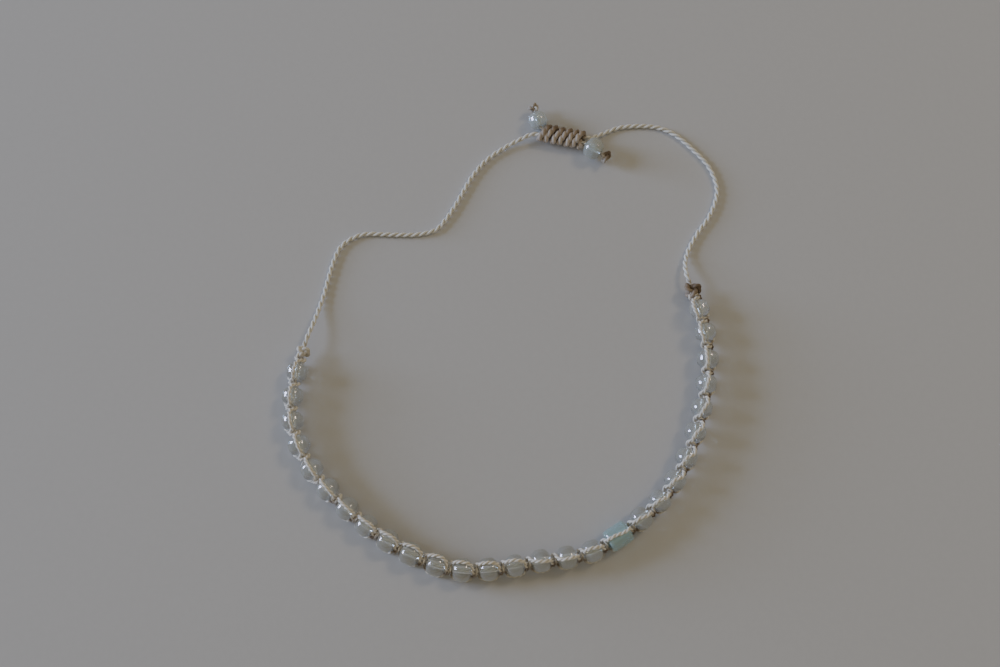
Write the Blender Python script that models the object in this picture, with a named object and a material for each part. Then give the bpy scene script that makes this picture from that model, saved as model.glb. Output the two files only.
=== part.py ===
"""Beaded bracelet on knotted cord, lying flat and drawn open to its widest.

Metres, +Z up. The surface that the beads lie on is z = 0, the bead string hangs round the -Y side of the
loop and the sliding knot closes it on the +Y side. The origin is below the middle of the beads and knots.
"""

import math

import bmesh
import bpy
import numpy as np
from mathutils import Matrix

# Gap between neighbouring pieces
CLEARANCE = 0.0003

# Cord and the strands tied round it
CORD_DIAMETER = 0.00085
STRAND_DIAMETER = 0.00062
TAIL_CORD_DIAMETER = 0.00075

# Drilled round beads, and the one tube bead among them
BEAD_COUNT = 28
BEAD_SIDES = 12
BEAD_DIAMETER = 0.0040
BEAD_LENGTH = 0.0032
BEAD_FACE = 0.0022
BEAD_BAND = 0.0008
TUBE_BEAD_NUMBER = 18
TUBE_BEAD_LENGTH = 0.0043
TUBE_BEAD_FACE = 0.0029
TUBE_BEAD_BAND = 0.0032
SMALL_BEAD_DIAMETER = 0.0036
SMALL_BEAD_LENGTH = 0.0029

# Flat knots between the beads, and the few that are drawn up less tightly
KNOT_LENGTH = 0.00068
KNOT_DIAMETER = 0.0021
KNOT_FLANK = 0.00012
LOOSE_KNOTS = {4: 0.0004, 6: 0.0003, 10: 0.0003, 22: 0.0004, 26: 0.0005}

# Strands over and under each bead, as angles from straight up towards the outside of the loop
STRAND_SPREAD = math.radians(32)
UNDER_STRAND_ANGLE = math.radians(128)
NECK_SLIT = 0.0001

# How the upper strand lies on the beads: bead number, lean outwards and sideways swing in degrees
STRAND_LAY = (
    (1, 4, 0),
    (7, 0, 0),
    (10, -26, 0),
    (11, -30, 0),
    (12, -27, 0),
    (13, -23, 0),
    (14, -18, 0),
    (15, 8, 0),
    (16, 10, 0),
    (17, -8, 6),
    (18, -2, 4),
    (22, 8, 16),
    (24, 10, 8),
    (26, -16, 0),
    (28, -26, 0),
)

# Larger knots at the two ends of the bead string
END_KNOT_LENGTH = 0.0020
END_KNOT_DIAMETERS = {"left": 0.0026, "right": 0.0030}

# Sliding knot that both cords pass through
SLIDING_KNOT_PLACE = (0.01170, 0.03794)
SLIDING_KNOT_TURN = math.radians(-12)
SLIDING_KNOT_LENGTH = 0.0078
SLIDING_KNOT_WIDTH = 0.0035
SLIDING_KNOT_HEIGHT = 0.0030
SLIDING_KNOT_WRAPS = 6
WRAP_DEPTH = 0.00018
WRAP_SLANT = 0.45

# Stopper knots behind the tail beads
STOPPER_LENGTH = 0.0017
STOPPER_DIAMETER = 0.0018

# Bead string, from the left end knot round the loop to the right one
STRING_ROUTE = (
    (-0.03560, -0.00576),
    (-0.03660, -0.01076),
    (-0.03630, -0.01776),
    (-0.03280, -0.02526),
    (-0.02640, -0.03206),
    (-0.02080, -0.03656),
    (-0.01320, -0.04076),
    (-0.00770, -0.04236),
    (-0.00120, -0.04226),
    (0.00580, -0.04106),
    (0.01120, -0.04036),
    (0.01580, -0.03916),
    (0.02040, -0.03646),
    (0.02680, -0.03126),
    (0.03140, -0.02486),
    (0.03470, -0.01626),
    (0.03650, -0.00826),
    (0.03660, -0.00126),
    (0.03580, 0.00334),
    (0.03500, 0.00584),
)

# Left cord, from its end knot to its end inside the sliding knot
LEFT_CORD_ROUTE = (
    (-0.03499, -0.00281, 0.00200),
    (-0.03445, -0.00106, 0.00190),
    (-0.03365, 0.00144, 0.00140),
    (-0.03300, 0.00394, 0.00080),
    (-0.03220, 0.00694, 0.00047),
    (-0.03150, 0.01024, 0.00045),
    (-0.03075, 0.01324, 0.00045),
    (-0.02970, 0.01584, 0.00045),
    (-0.02770, 0.01764, 0.00045),
    (-0.02520, 0.01854, 0.00045),
    (-0.02170, 0.01854, 0.00045),
    (-0.01870, 0.01844, 0.00045),
    (-0.01520, 0.01854, 0.00045),
    (-0.01210, 0.01944, 0.00045),
    (-0.01030, 0.02144, 0.00045),
    (-0.00890, 0.02364, 0.00045),
    (-0.00730, 0.02664, 0.00045),
    (-0.00560, 0.02984, 0.00045),
    (-0.00300, 0.03324, 0.00045),
    (0.00060, 0.03594, 0.00060),
    (0.00380, 0.03754, 0.00110),
    (0.00580, 0.03834, 0.00142),
    (0.00760, 0.03828, 0.00150),
    (0.00980, 0.03776, 0.00150),
    (0.01220, 0.03725, 0.00150),
    (0.01460, 0.03674, 0.00150),
)

# Right cord, from its end knot to its end inside the sliding knot
RIGHT_CORD_ROUTE = (
    (0.03405, 0.00877, 0.00200),
    (0.03365, 0.01044, 0.00185),
    (0.03360, 0.01224, 0.00130),
    (0.03400, 0.01404, 0.00070),
    (0.03470, 0.01584, 0.00047),
    (0.03640, 0.01884, 0.00045),
    (0.03860, 0.02194, 0.00045),
    (0.04000, 0.02514, 0.00045),
    (0.04040, 0.02794, 0.00045),
    (0.03920, 0.03194, 0.00045),
    (0.03630, 0.03564, 0.00045),
    (0.03270, 0.03894, 0.00045),
    (0.02970, 0.04024, 0.00045),
    (0.02590, 0.04054, 0.00045),
    (0.02230, 0.04014, 0.00045),
    (0.01950, 0.03899, 0.00050),
    (0.01800, 0.03821, 0.00080),
    (0.01695, 0.03770, 0.00120),
    (0.01600, 0.03758, 0.00148),
    (0.01420, 0.03799, 0.00150),
    (0.01180, 0.03851, 0.00150),
    (0.00880, 0.03914, 0.00150),
)

# Points per stretch of a route when it is smoothed, and the spacing of a cord's points in diameters
SMOOTHING = 24
CORD_POINT_SPACING = 2.5

BEAD_BORE = CORD_DIAMETER + 2 * CLEARANCE
KNOT_GAP = KNOT_LENGTH + 2 * CLEARANCE
LANE_OFFSET = (CORD_DIAMETER + CLEARANCE) / 2
END_KNOT_GAP = KNOT_LENGTH / 2 + KNOT_FLANK + CLEARANCE

# Which way each free end leaves the sliding knot: its side of the knot, its lane, the headings of its
# first stretch and of its bead in degrees, the length of that stretch, and the bead's size
TAILS = {
    "left": (-1, 1, 150, 108, 0.00094, SMALL_BEAD_DIAMETER, SMALL_BEAD_LENGTH),
    "right": (1, -1, -28, -37, 0.00110, BEAD_DIAMETER, BEAD_LENGTH),
}

FINISHES = {
    "clear_glass": ((0.70, 0.78, 0.77), 0.06, 0.0),
    "blue_green_glass": ((0.07, 0.42, 0.52), 0.08, 0.0),
    "cream_cord": ((0.78, 0.72, 0.62), 0.85, 0.0),
    "knot_cord": ((0.46, 0.35, 0.25), 0.88, 0.0),
}


class Route:
    """A smooth curve through a few chosen points, read by its arc length."""

    def __init__(self, chosen):
        self.points = smoothed(np.array(chosen, dtype=float))
        steps = np.linalg.norm(np.diff(self.points, axis=0), axis=1)
        self.marks = np.concatenate(([0.0], np.cumsum(steps)))
        self.length = float(self.marks[-1])

    def at(self, distance):
        """The point at this distance, in line with the end where it lies beyond one."""
        inside = min(max(distance, 0.0), self.length)
        point = np.array([np.interp(inside, self.marks, column) for column in self.points.T])
        return point + (distance - inside) * self.heading(inside)

    def heading(self, distance):
        """The unit tangent at this distance."""
        reach = self.length / (4 * len(self.points))
        middle = min(max(distance, reach), self.length - reach)
        ends = (middle - reach, middle + reach)
        near, far = (np.array([np.interp(end, self.marks, column) for column in self.points.T]) for end in ends)
        return (far - near) / np.linalg.norm(far - near)


def smoothed(points):
    """Centripetal Catmull-Rom curve through the points."""
    padded = np.vstack((2 * points[0] - points[1], points, 2 * points[-1] - points[-2]))
    curve = []
    for first, start, end, last in zip(padded, padded[1:], padded[2:], padded[3:]):
        knots = np.cumsum([0.0] + [math.dist(a, b) ** 0.5 for a, b in ((first, start), (start, end), (end, last))])
        for t in np.linspace(knots[1], knots[2], SMOOTHING, endpoint=False):
            a1 = blend(first, start, knots[0], knots[1], t)
            a2 = blend(start, end, knots[1], knots[2], t)
            a3 = blend(end, last, knots[2], knots[3], t)
            b1 = blend(a1, a2, knots[0], knots[2], t)
            b2 = blend(a2, a3, knots[1], knots[3], t)
            curve.append(blend(b1, b2, knots[1], knots[2], t))
    curve.append(points[-1])
    return np.array(curve)


def blend(start, end, t0, t1, t):
    """The point between start and end at t on the span t0 to t1."""
    share = (t - t0) / (t1 - t0)
    return start + share * (end - start)


def clear_scene():
    """Removes whatever the scene holds."""
    for obj in list(bpy.data.objects):
        bpy.data.objects.remove(obj, do_unlink=True)


def finish(name):
    """The Principled material of this name, made once."""
    material = bpy.data.materials.get(name)
    if material is None:
        colour, roughness, metallic = FINISHES[name]
        material = bpy.data.materials.new(name)
        material.use_nodes = True
        shader = material.node_tree.nodes["Principled BSDF"]
        shader.inputs["Base Color"].default_value = (*colour, 1.0)
        shader.inputs["Roughness"].default_value = roughness
        shader.inputs["Metallic"].default_value = metallic
        material.diffuse_color = (*colour, 1.0)
    return material


def add_object(name, data, finish_name):
    """Links a mesh or a curve to the scene as one named piece with its own material."""
    obj = bpy.data.objects.new(name, data)
    bpy.context.scene.collection.objects.link(obj)
    material = finish(finish_name).copy()
    material.name = name + "_" + finish_name
    data.materials.append(material)
    return obj


def mesh_from(bm, name, crease=math.radians(40)):
    """Turns a bmesh into a smooth-shaded mesh with its faces outwards."""
    bmesh.ops.recalc_face_normals(bm, faces=bm.faces)
    mesh = bpy.data.meshes.new(name)
    bm.to_mesh(mesh)
    bm.free()
    mesh.shade_smooth()
    mesh.set_sharp_from_angle(angle=crease)
    return mesh


def join_rings(bm, rings, closed=False):
    """Skins the rings in order with quads, back to the first ring if closed, else with flat ends."""
    pairs = list(zip(rings, rings[1:] + rings[:1])) if closed else list(zip(rings, rings[1:]))
    for near, far in pairs:
        for i in range(len(near)):
            j = (i + 1) % len(near)
            bm.faces.new((near[i], near[j], far[j], far[i]))
    if not closed:
        bm.faces.new(rings[0])
        bm.faces.new(rings[-1])


def bead_corners(length, diameter, face, band):
    """A bead's outline from the rim of its flat face to its band, as distances along and from its axis."""
    half = math.pi / 4
    along = (length - band) / 2
    out = (diameter - face) / 2
    middle = (band / 2 + along * math.cos(half), face / 2 + out * math.sin(half))
    return [(length / 2, face / 2), middle, (band / 2, diameter / 2)]


def bead_mesh(name, length, diameter, face, band):
    """A drilled bead turned about X, its flats as far from the axis as the named sizes."""
    corners = bead_corners(length, diameter, face, band)
    right = [(length / 2, BEAD_BORE / 2)] + corners
    profile = right + [(-x, r) for x, r in reversed(right)]
    bm = bmesh.new()
    rings = []
    for x, radius in profile:
        reach = radius / math.cos(math.pi / BEAD_SIDES)
        ring = []
        for i in range(BEAD_SIDES):
            angle = 2 * math.pi * (i + 0.5) / BEAD_SIDES
            ring.append(bm.verts.new((x, reach * math.cos(angle), reach * math.sin(angle))))
        rings.append(ring)
    join_rings(bm, rings, closed=True)
    return mesh_from(bm, name)


def place(obj, point, heading):
    """Puts a piece at a point with its own X axis along the heading."""
    turn = math.atan2(heading[1], heading[0])
    rise = math.asin(heading[2]) if len(heading) > 2 else 0.0
    obj.location = point
    obj.rotation_euler = (0.0, -rise, turn)


def string_places():
    """Distances along the string's own axis of the knots and beads, from the first knot."""
    knots = [0.0]
    beads = []
    for number in range(1, BEAD_COUNT + 1):
        length = TUBE_BEAD_LENGTH if number == TUBE_BEAD_NUMBER else BEAD_LENGTH
        gap_before, gap_after = (KNOT_GAP + LOOSE_KNOTS.get(knot, 0.0) for knot in (number - 1, number))
        beads.append(knots[-1] + (gap_before + length) / 2)
        knots.append(beads[-1] + (gap_after + length) / 2)
    return knots, beads


class BeadString:
    """The string's route with the beads and knots laid out along it, centred on the route."""

    def __init__(self):
        axis_height = BEAD_DIAMETER / 2
        self.route = Route([(x, y, axis_height) for x, y in STRING_ROUTE])
        knots, beads = string_places()
        start = (self.route.length - knots[-1]) / 2
        self.knots = [start + place for place in knots]
        self.beads = [start + place for place in beads]

    def frame(self, distance):
        """The point on the axis there, with the directions along, outwards and up."""
        along = self.route.heading(distance)
        outwards = np.array((along[1], -along[0], 0.0))
        return self.route.at(distance), along, outwards, np.array((0.0, 0.0, 1.0))

    def strand_lean(self, distance):
        """The upper strand's angle from straight up at this distance."""
        numbers, leans, swings = (np.array(column, dtype=float) for column in zip(*STRAND_LAY))
        bead = float(np.interp(distance, self.beads, np.arange(1, BEAD_COUNT + 1)))
        lean = np.interp(bead, numbers, leans)
        swing = np.interp(bead, numbers, swings)
        return math.radians(lean + swing * math.sin(2 * math.pi * bead))

    def angles(self, distance):
        """The nine angles of a ring of the knotted cord, the upper strand's three first."""
        over = self.strand_lean(distance)
        under = UNDER_STRAND_ANGLE
        outer = np.linspace(over + STRAND_SPREAD, under - STRAND_SPREAD, 3)
        inner = np.linspace(under + STRAND_SPREAD, over - STRAND_SPREAD + 2 * math.pi, 4)
        return [over - STRAND_SPREAD, over, *outer, under, *inner[:3]]


def strand_stations(number):
    """Centre line of the strand over one half of a bead, from the knot's side up to the band.

    Each row is a distance from the bead's middle, a distance from the string's axis, and the strand's half
    thickness and half width there.
    """
    tube = number == TUBE_BEAD_NUMBER
    length = TUBE_BEAD_LENGTH if tube else BEAD_LENGTH
    face = TUBE_BEAD_FACE if tube else BEAD_FACE
    band = TUBE_BEAD_BAND if tube else BEAD_BAND
    flats = 1 / math.cos(math.pi / BEAD_SIDES)
    (_, rim), (middle, shoulder), (edge, crest) = bead_corners(length, BEAD_DIAMETER, face, band)
    radius = STRAND_DIAMETER / 2
    away = CLEARANCE + radius
    normal = np.array(((BEAD_DIAMETER - face) / 2, (length - band) / 2))
    normal /= np.linalg.norm(normal)
    neck = (CLEARANCE + KNOT_LENGTH / 2 - NECK_SLIT) / 3
    neck_place = length / 2 + KNOT_GAP / 2 - NECK_SLIT / 2 - neck
    neck_height = (KNOT_DIAMETER / 2 + shoulder * flats) / 2
    shoulder_place = middle + away * normal[0]
    shoulder_height = shoulder * flats + away * normal[1]
    return [
        (neck_place, neck_height, neck, 1.3 * radius),
        (shoulder_place, shoulder_height, 0.95 * radius, 1.1 * radius),
        (edge * 0.8, crest * flats + away, radius, radius),
    ]


def strand_rings(bm, string, number, over):
    """The rings of one strand across a bead, in order from the knot before it to the knot after it."""
    half = strand_stations(number)
    line = [(-x, height, thick, wide) for x, height, thick, wide in half] + half[::-1]
    headings = [(b[0] - a[0], b[1] - a[1]) for a, b in zip([line[0]] + line, line + [line[-1]])]
    rings = []
    for i, (x, height, thick, wide) in enumerate(line):
        run = np.array(headings[i]) + np.array(headings[i + 1])
        run /= np.linalg.norm(run)
        distance = string.beads[number - 1] + x
        centre, along, outwards, up = string.frame(distance)
        angle = string.strand_lean(distance) if over else UNDER_STRAND_ANGLE
        away = math.cos(angle) * up + math.sin(angle) * outwards
        sideways = math.cos(angle) * outwards - math.sin(angle) * up
        normal = run[0] * away - run[1] * along
        middle = centre + height * away
        ring = []
        for corner in (-60, 0, 60, 120, 180, 240):
            turn = math.radians(corner)
            point = middle + thick * math.cos(turn) * normal + wide * math.sin(turn) * sideways
            ring.append(bm.verts.new(point))
        rings.append(ring)
    return rings


def knotted_cord_mesh(string):
    """Core thread, flat knots, and the strands over and under each bead, in one skin."""
    bm = bmesh.new()
    half = KNOT_LENGTH / 2
    core = CORD_DIAMETER / 2
    knot = KNOT_DIAMETER / 2
    shape = ((-half - KNOT_FLANK, core), (-half, knot), (0.0, knot), (half, knot), (half + KNOT_FLANK, core))
    knots = []
    for distance in string.knots:
        angles = string.angles(distance)
        rings = []
        for offset, radius in shape:
            centre, _, outwards, up = string.frame(distance + offset)
            points = [centre + radius * (math.cos(a) * up + math.sin(a) * outwards) for a in angles]
            rings.append([bm.verts.new(point) for point in points])
        knots.append(rings)
    windows = ((0, 1), (4, 5))
    for place_number, rings in enumerate(knots):
        open_before = place_number > 0
        open_after = place_number < len(knots) - 1
        for i, (near, far) in enumerate(zip(rings, rings[1:])):
            has_window = (i == 1 and open_before) or (i == 2 and open_after)
            for j in range(len(near)):
                if has_window and any(j in window for window in windows):
                    continue
                k = (j + 1) % len(near)
                bm.faces.new((near[j], near[k], far[k], far[j]))
        if open_after:
            near, far = rings[-1], knots[place_number + 1][0]
            for j in range(len(near)):
                k = (j + 1) % len(near)
                bm.faces.new((near[j], near[k], far[k], far[j]))
    bm.faces.new(knots[0][0])
    bm.faces.new(knots[-1][-1])
    for number in range(1, BEAD_COUNT + 1):
        before, after = knots[number - 1], knots[number]
        for over, first in ((True, 0), (False, 4)):
            start = before[2][first:first + 3] + before[3][first:first + 3][::-1]
            end = after[2][first:first + 3] + after[1][first:first + 3][::-1]
            rings = [start] + strand_rings(bm, string, number, over) + [end]
            for near, far in zip(rings, rings[1:]):
                for j in range(len(near)):
                    k = (j + 1) % len(near)
                    bm.faces.new((near[j], near[k], far[k], far[j]))
    return mesh_from(bm, "knotted_cord")


def swept_rings(bm, points, radii, sides, lobes=0.0):
    """Rings square to a line of points; lobes is how far three ridges that wind along it stand out."""
    rings = []
    for i, (point, radius) in enumerate(zip(points, radii)):
        before = points[max(i - 1, 0)]
        after = points[min(i + 1, len(points) - 1)]
        along = (after - before) / np.linalg.norm(after - before)
        sideways = np.cross(along, (0.0, 0.0, 1.0))
        sideways /= np.linalg.norm(sideways)
        up = np.cross(sideways, along)
        ring = []
        for j in range(sides):
            angle = 2 * math.pi * j / sides
            swell = 1.0 + lobes * math.cos(3 * angle + 0.9 * i) if radius > CORD_DIAMETER / 2 else 1.0
            ring.append(bm.verts.new(point + radius * swell * (math.cos(angle) * sideways + math.sin(angle) * up)))
        rings.append(ring)
    return rings


def end_knot_mesh(name, diameter):
    """A tight knot round the X axis, fullest in the middle, with three lobes that wind along it."""
    shares = ((-0.5, 0.40), (-0.36, 0.82), (-0.12, 1.0), (0.12, 0.96), (0.34, 0.84), (0.5, 0.42))
    points = [np.array((share * END_KNOT_LENGTH, 0.0, 0.0)) for share, _ in shares]
    radii = [share * diameter / 2 for _, share in shares]
    bm = bmesh.new()
    join_rings(bm, swept_rings(bm, points, radii, 12, lobes=0.10))
    return mesh_from(bm, name)


def sliding_knot_frame():
    """The sliding knot's middle and its directions along, sideways and up."""
    along = np.array((math.cos(SLIDING_KNOT_TURN), math.sin(SLIDING_KNOT_TURN), 0.0))
    sideways = np.array((-along[1], along[0], 0.0))
    middle = np.array((*SLIDING_KNOT_PLACE, SLIDING_KNOT_HEIGHT / 2))
    return middle, along, sideways, np.array((0.0, 0.0, 1.0))


def oval(half_width, half_height, squareness, sides):
    """Points round an oval, from an ellipse at squareness 2 towards a rectangle above it."""
    points = []
    for i in range(sides):
        angle = 2 * math.pi * i / sides
        across, high = math.cos(angle), math.sin(angle)
        y = math.copysign(abs(across) ** (2 / squareness), across) * half_width
        z = math.copysign(abs(high) ** (2 / squareness), high) * half_height
        points.append((y, z))
    return points


def sliding_knot_mesh():
    """A ribbed sleeve of slanted wraps round a slot for the two cords."""
    sides = 16
    bm = bmesh.new()
    middle, along, sideways, up = sliding_knot_frame()

    def ring(x, outline):
        """One slanted ring of the sleeve or of its slot."""
        points = [middle + (x + WRAP_SLANT * y) * along + y * sideways + z * up for y, z in outline]
        return [bm.verts.new(point) for point in points]

    rings = []
    wrap = SLIDING_KNOT_LENGTH / SLIDING_KNOT_WRAPS
    for i in range(SLIDING_KNOT_WRAPS):
        start = -SLIDING_KNOT_LENGTH / 2 + i * wrap
        for share, depth in ((0.0, WRAP_DEPTH), (0.28, 0.0), (0.72, 0.0)):
            outline = oval(SLIDING_KNOT_WIDTH / 2 - depth, SLIDING_KNOT_HEIGHT / 2 - depth, 2.3, sides)
            rings.append(ring(start + share * wrap, outline))
    outline = oval(SLIDING_KNOT_WIDTH / 2 - WRAP_DEPTH, SLIDING_KNOT_HEIGHT / 2 - WRAP_DEPTH, 2.3, sides)
    rings.append(ring(SLIDING_KNOT_LENGTH / 2, outline))
    slot_half_width = LANE_OFFSET + CORD_DIAMETER / 2 + CLEARANCE
    slot = oval(slot_half_width, CORD_DIAMETER / 2 + CLEARANCE, 3.5, sides)
    rings.append(ring(SLIDING_KNOT_LENGTH / 2, slot))
    rings.append(ring(-SLIDING_KNOT_LENGTH / 2, slot))
    join_rings(bm, rings, closed=True)
    return mesh_from(bm, "sliding_knot")


def tail_layout(side):
    """Where a free end leaves the sliding knot and where its bead and stopper lie."""
    end, lane, leave, turn, stretch, diameter, length = TAILS[side]
    middle, along, sideways, _ = sliding_knot_frame()
    lane_place = lane * LANE_OFFSET
    mouth = end * SLIDING_KNOT_LENGTH / 2 + WRAP_SLANT * lane_place
    exit_point = middle + mouth * along + lane_place * sideways
    inside = exit_point - end * CLEARANCE * along
    leave_heading = np.array((math.cos(math.radians(leave)), math.sin(math.radians(leave)), 0.0))
    heading = np.array((math.cos(math.radians(turn)), math.sin(math.radians(turn)), 0.0))
    near = exit_point + stretch * leave_heading
    near[2] = diameter / 2
    return inside, exit_point, near, near + length * heading, heading


def tail_knot_mesh(side):
    """A free end's cord, from inside the sliding knot through its bead, and the stopper knot on it."""
    inside, exit_point, near, far, heading = tail_layout(side)
    radius = TAIL_CORD_DIAMETER / 2
    stopper = STOPPER_DIAMETER / 2
    shares = ((0.0, 0.6), (0.22, 0.95), (0.5, 1.0), (0.78, 0.85), (1.0, 0.35))
    points = [inside, exit_point, near, far]
    points += [far + (CLEARANCE + share * STOPPER_LENGTH) * heading for share, _ in shares]
    radii = [radius] * 4 + [share * stopper for _, share in shares]
    bm = bmesh.new()
    join_rings(bm, swept_rings(bm, points, radii, 10, lobes=0.08))
    return mesh_from(bm, "tail_knot_" + side)


def cord_curve(name, chosen):
    """A bare cord as a round tube along its route."""
    route = Route(chosen)
    count = round(route.length / (CORD_POINT_SPACING * CORD_DIAMETER)) + 1
    curve = bpy.data.curves.new(name, "CURVE")
    curve.dimensions = "3D"
    curve.bevel_depth = CORD_DIAMETER / 2
    curve.bevel_resolution = 2
    curve.use_fill_caps = True
    spline = curve.splines.new("POLY")
    spline.points.add(count - 1)
    for point, distance in zip(spline.points, np.linspace(0.0, route.length, count)):
        point.co = (*route.at(distance), 1.0)
    return curve


def build_string():
    """The beads of the string, the cord knotted round them, and the larger knots at its ends."""
    string = BeadString()
    round_bead = bead_mesh("round_bead", BEAD_LENGTH, BEAD_DIAMETER, BEAD_FACE, BEAD_BAND)
    tube_bead = bead_mesh("tube_bead", TUBE_BEAD_LENGTH, BEAD_DIAMETER, TUBE_BEAD_FACE, TUBE_BEAD_BAND)
    for number, distance in enumerate(string.beads, start=1):
        tube = number == TUBE_BEAD_NUMBER
        mesh = (tube_bead if tube else round_bead).copy()
        name = f"bead_{number:02d}"
        mesh.name = name
        bead = add_object(name, mesh, "blue_green_glass" if tube else "clear_glass")
        place(bead, string.route.at(distance), string.route.heading(distance))
    add_object("knotted_cord", knotted_cord_mesh(string), "cream_cord")
    reach = END_KNOT_GAP + END_KNOT_LENGTH / 2
    for side, distance in (("left", string.knots[0] - reach), ("right", string.knots[-1] + reach)):
        name = "end_knot_" + side
        knot = add_object(name, end_knot_mesh(name, END_KNOT_DIAMETERS[side]), "knot_cord")
        place(knot, string.route.at(distance), string.route.heading(distance))


def build_closure():
    """The sliding knot, and the bead and stopper knot on each free end."""
    add_object("sliding_knot", sliding_knot_mesh(), "knot_cord")
    for side, (_, _, _, _, _, diameter, length) in TAILS.items():
        _, _, near, far, heading = tail_layout(side)
        name = "tail_bead_" + side
        face = BEAD_FACE * diameter / BEAD_DIAMETER
        bead = add_object(name, bead_mesh(name, length, diameter, face, BEAD_BAND), "clear_glass")
        place(bead, (near + far) / 2, heading)
        add_object("tail_knot_" + side, tail_knot_mesh(side), "knot_cord")


def build_cords():
    """The two bare cords."""
    for name, chosen in (("left_cord", LEFT_CORD_ROUTE), ("right_cord", RIGHT_CORD_ROUTE)):
        add_object(name, cord_curve(name, chosen), "cream_cord")


def centre_on_origin():
    """Moves everything so that the origin lies below the middle of the beads and knots."""
    bpy.context.view_layer.update()
    pieces = [obj for obj in bpy.context.scene.objects if obj.type == "MESH"]
    corners = np.array([obj.matrix_world @ vertex.co for obj in pieces for vertex in obj.data.vertices])
    middle = (corners.min(axis=0) + corners.max(axis=0)) / 2
    shift = Matrix.Translation((-middle[0], -middle[1], 0.0))
    for obj in bpy.context.scene.objects:
        obj.matrix_world = shift @ obj.matrix_world


clear_scene()
build_string()
build_closure()
build_cords()
centre_on_origin()
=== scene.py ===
"""Beaded bracelet on knotted cord: glass, twisted cord, knots, light and camera.

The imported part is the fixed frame, and each piece here stands where its solids stand. Metres, +Z up, the
surface that the bracelet lies on at z = 0, the bead string round the -Y side and the sliding knot at +Y.
"""

import logging
import math
from collections.abc import Callable
from dataclasses import dataclass, field
from enum import Enum

import bmesh
import bpy
import numpy as np
from bpy.types import Material, Node, NodeSocket, NodeTree, Object
from mathutils import Matrix, Vector


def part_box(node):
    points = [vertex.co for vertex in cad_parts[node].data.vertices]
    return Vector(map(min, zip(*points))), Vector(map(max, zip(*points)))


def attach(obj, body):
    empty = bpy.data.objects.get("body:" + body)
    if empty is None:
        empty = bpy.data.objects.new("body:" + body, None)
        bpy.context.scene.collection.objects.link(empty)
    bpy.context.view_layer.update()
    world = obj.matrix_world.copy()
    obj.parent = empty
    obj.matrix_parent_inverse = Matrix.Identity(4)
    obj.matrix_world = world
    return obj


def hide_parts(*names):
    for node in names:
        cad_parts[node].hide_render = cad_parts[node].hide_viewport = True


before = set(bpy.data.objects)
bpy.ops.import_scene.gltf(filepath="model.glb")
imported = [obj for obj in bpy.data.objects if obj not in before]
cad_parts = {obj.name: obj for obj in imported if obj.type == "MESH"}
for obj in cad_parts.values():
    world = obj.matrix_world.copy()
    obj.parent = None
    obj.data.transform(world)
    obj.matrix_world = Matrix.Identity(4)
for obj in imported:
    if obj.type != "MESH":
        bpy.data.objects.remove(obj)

LOG = logging.getLogger("bracelet")
MM = 0.001
BEAD_COUNT = 28
TUBE_BEAD = 18
SMOOTHING = 24
ROOT = "root"
UP = np.array((0.0, 0.0, 1.0))

Colour = tuple[float, float, float]
Table = tuple[tuple[float, float, float], ...]
Feed = NodeSocket | float | Colour

# How far the source moves the routes below when it centres the whole part
CENTRING = (0.0, 0.0001967, 0.0)

# The ways of the bare cords from the end knots into the sliding knot, in millimetres
LEFT_CORD_ROUTE: Table = (
    (-34.99, -2.81, 2.00), (-34.45, -1.06, 1.90), (-33.65, 1.44, 1.40), (-33.00, 3.94, 0.80),
    (-32.20, 6.94, 0.47), (-31.50, 10.24, 0.45), (-30.75, 13.24, 0.45), (-29.70, 15.84, 0.45),
    (-27.70, 17.64, 0.45), (-25.20, 18.54, 0.45), (-21.70, 18.54, 0.45), (-18.70, 18.44, 0.45),
    (-15.20, 18.54, 0.45), (-12.10, 19.44, 0.45), (-10.30, 21.44, 0.45), (-8.90, 23.64, 0.45),
    (-7.30, 26.64, 0.45), (-5.60, 29.84, 0.45), (-3.00, 33.24, 0.45), (0.60, 35.94, 0.60),
    (3.80, 37.54, 1.10), (5.80, 38.34, 1.42), (7.60, 38.28, 1.50), (9.80, 37.76, 1.50),
    (12.20, 37.25, 1.50), (14.60, 36.74, 1.50),
)
RIGHT_CORD_ROUTE: Table = (
    (34.05, 8.77, 2.00), (33.65, 10.44, 1.85), (33.60, 12.24, 1.30), (34.00, 14.04, 0.70),
    (34.70, 15.84, 0.47), (36.40, 18.84, 0.45), (38.60, 21.94, 0.45), (40.00, 25.14, 0.45),
    (40.40, 27.94, 0.45), (39.20, 31.94, 0.45), (36.30, 35.64, 0.45), (32.70, 38.94, 0.45),
    (29.70, 40.24, 0.45), (25.90, 40.54, 0.45), (22.30, 40.14, 0.45), (19.50, 38.99, 0.50),
    (18.00, 38.21, 0.80), (16.95, 37.70, 1.20), (16.00, 37.58, 1.48), (14.20, 37.99, 1.50),
    (11.80, 38.51, 1.50), (8.80, 39.14, 1.50),
)


class Spin(Enum):
    """Which way the plies of a cord wind."""

    S = -1
    Z = 1


class Side(Enum):
    """The two ends of the bead string, and the cords and free ends that belong to them."""

    LEFT = "left"
    RIGHT = "right"


class Glass(Enum):
    """The kinds of glass: the string's clear beads, the milkier free ends' beads and the long bead."""

    CLEAR = "clear"
    MILKY = "milky"
    BLUE_GREEN = "blue-green"


# The free ends' directions through their beads, in degrees from +X towards +Y
TAIL_TURNS = {Side.LEFT: 108.0, Side.RIGHT: -37.0}


# ---- lines


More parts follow.
